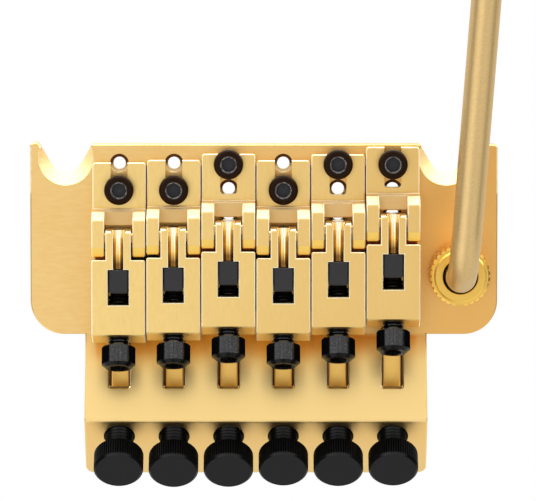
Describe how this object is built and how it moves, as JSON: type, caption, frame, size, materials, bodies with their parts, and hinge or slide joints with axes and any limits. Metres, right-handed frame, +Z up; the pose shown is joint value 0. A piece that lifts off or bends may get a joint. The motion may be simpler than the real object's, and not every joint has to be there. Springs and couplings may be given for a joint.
{
  "type": "guitar tremolo bridge",
  "caption": "Gold locking tremolo bridge for electric guitar: bent plate on knife edges, sliding saddles with string clamps, black fine tuners, sustain block and a swinging arm",
  "frame": {"origin": "midway between the two knife edges, on the underside of the plate", "axes": "+X to the arm side, +Y towards the guitar's neck, +Z up out of the guitar's top"},
  "size_m": [0.0953, 0.1713, 0.0937],
  "materials": {
    "plate_gold": "satin gold plating over a bent steel sheet",
    "saddle_gold": "brushed pale gold plating over steel",
    "collar_gold": "bright gold plating, straight knurl",
    "arm_gold": "satin gold plating over a steel rod",
    "block_brass": "machined brass",
    "black_oxide": "glossy black oxide on machined steel",
    "tuner_black": "matt black oxide, straight knurl and thread",
    "dark_steel": "dull dark hardened steel",
    "pin_steel": "ground steel pin",
    "spring_steel": "rolled spring steel",
    "black_nylon": "moulded nylon"
  },
  "bodies": {
    "base": {"base_plate": "plate_gold", "sustain_block": "block_brass", "block_screws": "black_oxide", "saddle_screws": "black_oxide", "leaf_spring": "spring_steel", "leaf_spring_screws": "black_oxide", "arm_bushing": "plate_gold", "arm_washer": "plate_gold", "arm_nut": "plate_gold", "arm_seat_washers": "black_nylon"},
    "arm": {"tremolo_arm": "arm_gold"},
    "collar": {"arm_collar": "collar_gold"},
    "saddle_1": {"saddle_base_1": "saddle_gold", "saddle_pin_1": "pin_steel"},
    "holder_1": {"string_holder_1": "saddle_gold"},
    "lock_1": {"lock_screw_1": "black_oxide", "clamp_insert_1": "dark_steel"},
    "tuner_1": {"fine_tuner_1": "tuner_black"},
    "leaf_1": {"spring_leaf_1": "spring_steel"},
    "saddle_2": {"saddle_base_2": "saddle_gold", "saddle_pin_2": "pin_steel"},
    "holder_2": {"string_holder_2": "saddle_gold"},
    "lock_2": {"lock_screw_2": "black_oxide", "clamp_insert_2": "dark_steel"},
    "tuner_2": {"fine_tuner_2": "tuner_black"},
    "leaf_2": {"spring_leaf_2": "spring_steel"},
    "saddle_3": {"saddle_base_3": "saddle_gold", "saddle_pin_3": "pin_steel"},
    "holder_3": {"string_holder_3": "saddle_gold"},
    "lock_3": {"lock_screw_3": "black_oxide", "clamp_insert_3": "dark_steel"},
    "tuner_3": {"fine_tuner_3": "tuner_black"},
    "leaf_3": {"spring_leaf_3": "spring_steel"},
    "saddle_4": {"saddle_base_4": "saddle_gold", "saddle_pin_4": "pin_steel"},
    "holder_4": {"string_holder_4": "saddle_gold"},
    "lock_4": {"lock_screw_4": "black_oxide", "clamp_insert_4": "dark_steel"},
    "tuner_4": {"fine_tuner_4": "tuner_black"},
    "leaf_4": {"spring_leaf_4": "spring_steel"},
    "saddle_5": {"saddle_base_5": "saddle_gold", "saddle_pin_5": "pin_steel"},
    "holder_5": {"string_holder_5": "saddle_gold"},
    "lock_5": {"lock_screw_5": "black_oxide", "clamp_insert_5": "dark_steel"},
    "tuner_5": {"fine_tuner_5": "tuner_black"},
    "leaf_5": {"spring_leaf_5": "spring_steel"},
    "saddle_6": {"saddle_base_6": "saddle_gold", "saddle_pin_6": "pin_steel"},
    "holder_6": {"string_holder_6": "saddle_gold"},
    "lock_6": {"lock_screw_6": "black_oxide", "clamp_insert_6": "dark_steel"},
    "tuner_6": {"fine_tuner_6": "tuner_black"},
    "leaf_6": {"spring_leaf_6": "spring_steel"}
  },
  "joints": [
    {"name": "arm_swing", "type": "hinge", "parent": "base", "child": "arm", "pos_m": [0.0396, -0.0224, 0], "axis": [0, 0, 1], "continuous": true},
    {"name": "collar_turn", "type": "hinge", "parent": "base", "child": "collar", "pos_m": [0.0396, -0.0224, 0], "axis": [0, 0, 1], "continuous": true},
    {"name": "intonation_1", "type": "slide", "parent": "base", "child": "saddle_1", "axis": [0, 1, 0], "range_m": [-0.0012, 0.0005]},
    {"name": "fine_tune_1", "type": "slide", "parent": "base", "child": "tuner_1", "axis": [0, 0.6293, -0.7771], "range_m": [-0.001, 0.004]},
    {"name": "lever_1", "type": "hinge", "parent": "saddle_1", "child": "holder_1", "pos_m": [-0.02665, -0.01539, 0.0086], "axis": [1, 0, 0], "range_deg": [-1.6, 5.7]},
    {"name": "spring_bend_1", "type": "hinge", "parent": "base", "child": "leaf_1", "pos_m": [-0.02665, -0.02895, -0.00505], "axis": [1, 0, 0], "range_deg": [-3.2, 12.1]},
    {"name": "string_lock_1", "type": "slide", "parent": "holder_1", "child": "lock_1", "axis": [0, -0.9272, 0.3746], "range_m": [0, 0.0015]},
    {"name": "intonation_2", "type": "slide", "parent": "base", "child": "saddle_2", "axis": [0, 1, 0], "range_m": [-0.0017, 0.0001]},
    {"name": "fine_tune_2", "type": "slide", "parent": "base", "child": "tuner_2", "axis": [0, 0.6293, -0.7771], "range_m": [-0.001, 0.004]},
    {"name": "lever_2", "type": "hinge", "parent": "saddle_2", "child": "holder_2", "pos_m": [-0.01599, -0.01489, 0.00895], "axis": [1, 0, 0], "range_deg": [-1.6, 5.7]},
    {"name": "spring_bend_2", "type": "hinge", "parent": "base", "child": "leaf_2", "pos_m": [-0.01599, -0.02895, -0.00505], "axis": [1, 0, 0], "range_deg": [-3.2, 12.1]},
    {"name": "string_lock_2", "type": "slide", "parent": "holder_2", "child": "lock_2", "axis": [0, -0.9272, 0.3746], "range_m": [0, 0.0015]},
    {"name": "intonation_3", "type": "slide", "parent": "base", "child": "saddle_3", "axis": [0, 1, 0], "range_m": [-0.001, 0.0025]},
    {"name": "fine_tune_3", "type": "slide", "parent": "base", "child": "tuner_3", "axis": [0, 0.6293, -0.7771], "range_m": [-0.001, 0.004]},
    {"name": "lever_3", "type": "hinge", "parent": "saddle_3", "child": "holder_3", "pos_m": [-0.00533, -0.01369, 0.0092], "axis": [1, 0, 0], "range_deg": [-1.6, 5.7]},
    {"name": "spring_bend_3", "type": "hinge", "parent": "base", "child": "leaf_3", "pos_m": [-0.00533, -0.02895, -0.00505], "axis": [1, 0, 0], "range_deg": [-3.2, 12.1]},
    {"name": "string_lock_3", "type": "slide", "parent": "holder_3", "child": "lock_3", "axis": [0, -0.9272, 0.3746], "range_m": [0, 0.0015]},
    {"name": "intonation_4", "type": "slide", "parent": "base", "child": "saddle_4", "axis": [0, 1, 0], "range_m": [-0.0017, 0.0001]},
    {"name": "fine_tune_4", "type": "slide", "parent": "base", "child": "tuner_4", "axis": [0, 0.6293, -0.7771], "range_m": [-0.001, 0.004]},
    {"name": "lever_4", "type": "hinge", "parent": "saddle_4", "child": "holder_4", "pos_m": [0.00533, -0.01494, 0.0092], "axis": [1, 0, 0], "range_deg": [-1.6, 5.7]},
    {"name": "spring_bend_4", "type": "hinge", "parent": "base", "child": "leaf_4", "pos_m": [0.00533, -0.02895, -0.00505], "axis": [1, 0, 0], "range_deg": [-3.2, 12.1]},
    {"name": "string_lock_4", "type": "slide", "parent": "holder_4", "child": "lock_4", "axis": [0, -0.9272, 0.3746], "range_m": [0, 0.0015]},
    {"name": "intonation_5", "type": "slide", "parent": "base", "child": "saddle_5", "axis": [0, 1, 0], "range_m": [-0.0009, 0.0025]},
    {"name": "fine_tune_5", "type": "slide", "parent": "base", "child": "tuner_5", "axis": [0, 0.6293, -0.7771], "range_m": [-0.001, 0.004]},
    {"name": "lever_5", "type": "hinge", "parent": "saddle_5", "child": "holder_5", "pos_m": [0.01599, -0.01379, 0.00895], "axis": [1, 0, 0], "range_deg": [-1.6, 5.7]},
    {"name": "spring_bend_5", "type": "hinge", "parent": "base", "child": "leaf_5", "pos_m": [0.01599, -0.02895, -0.00505], "axis": [1, 0, 0], "range_deg": [-3.2, 12.1]},
    {"name": "string_lock_5", "type": "slide", "parent": "holder_5", "child": "lock_5", "axis": [0, -0.9272, 0.3746], "range_m": [0, 0.0015]},
    {"name": "intonation_6", "type": "slide", "parent": "base", "child": "saddle_6", "axis": [0, 1, 0], "range_m": [-0.0023, 0.0012]},
    {"name": "fine_tune_6", "type": "slide", "parent": "base", "child": "tuner_6", "axis": [0, 0.6293, -0.7771], "range_m": [-0.001, 0.004]},
    {"name": "lever_6", "type": "hinge", "parent": "saddle_6", "child": "holder_6", "pos_m": [0.02665, -0.01234, 0.0086], "axis": [1, 0, 0], "range_deg": [-1.6, 5.7]},
    {"name": "spring_bend_6", "type": "hinge", "parent": "base", "child": "leaf_6", "pos_m": [0.02665, -0.02895, -0.00505], "axis": [1, 0, 0], "range_deg": [-3.2, 12.1]},
    {"name": "string_lock_6", "type": "slide", "parent": "holder_6", "child": "lock_6", "axis": [0, -0.9272, 0.3746], "range_m": [0, 0.0015]}
  ],
  "couplings": [
    {"joint": "lever_1", "follows": "fine_tune_1", "rad_per_m": 24},
    {"joint": "spring_bend_1", "follows": "fine_tune_1", "rad_per_m": 52},
    {"joint": "lever_2", "follows": "fine_tune_2", "rad_per_m": 24},
    {"joint": "spring_bend_2", "follows": "fine_tune_2", "rad_per_m": 52},
    {"joint": "lever_3", "follows": "fine_tune_3", "rad_per_m": 24},
    {"joint": "spring_bend_3", "follows": "fine_tune_3", "rad_per_m": 52},
    {"joint": "lever_4", "follows": "fine_tune_4", "rad_per_m": 24},
    {"joint": "spring_bend_4", "follows": "fine_tune_4", "rad_per_m": 52},
    {"joint": "lever_5", "follows": "fine_tune_5", "rad_per_m": 24},
    {"joint": "spring_bend_5", "follows": "fine_tune_5", "rad_per_m": 52},
    {"joint": "lever_6", "follows": "fine_tune_6", "rad_per_m": 24},
    {"joint": "spring_bend_6", "follows": "fine_tune_6", "rad_per_m": 52}
  ]
}
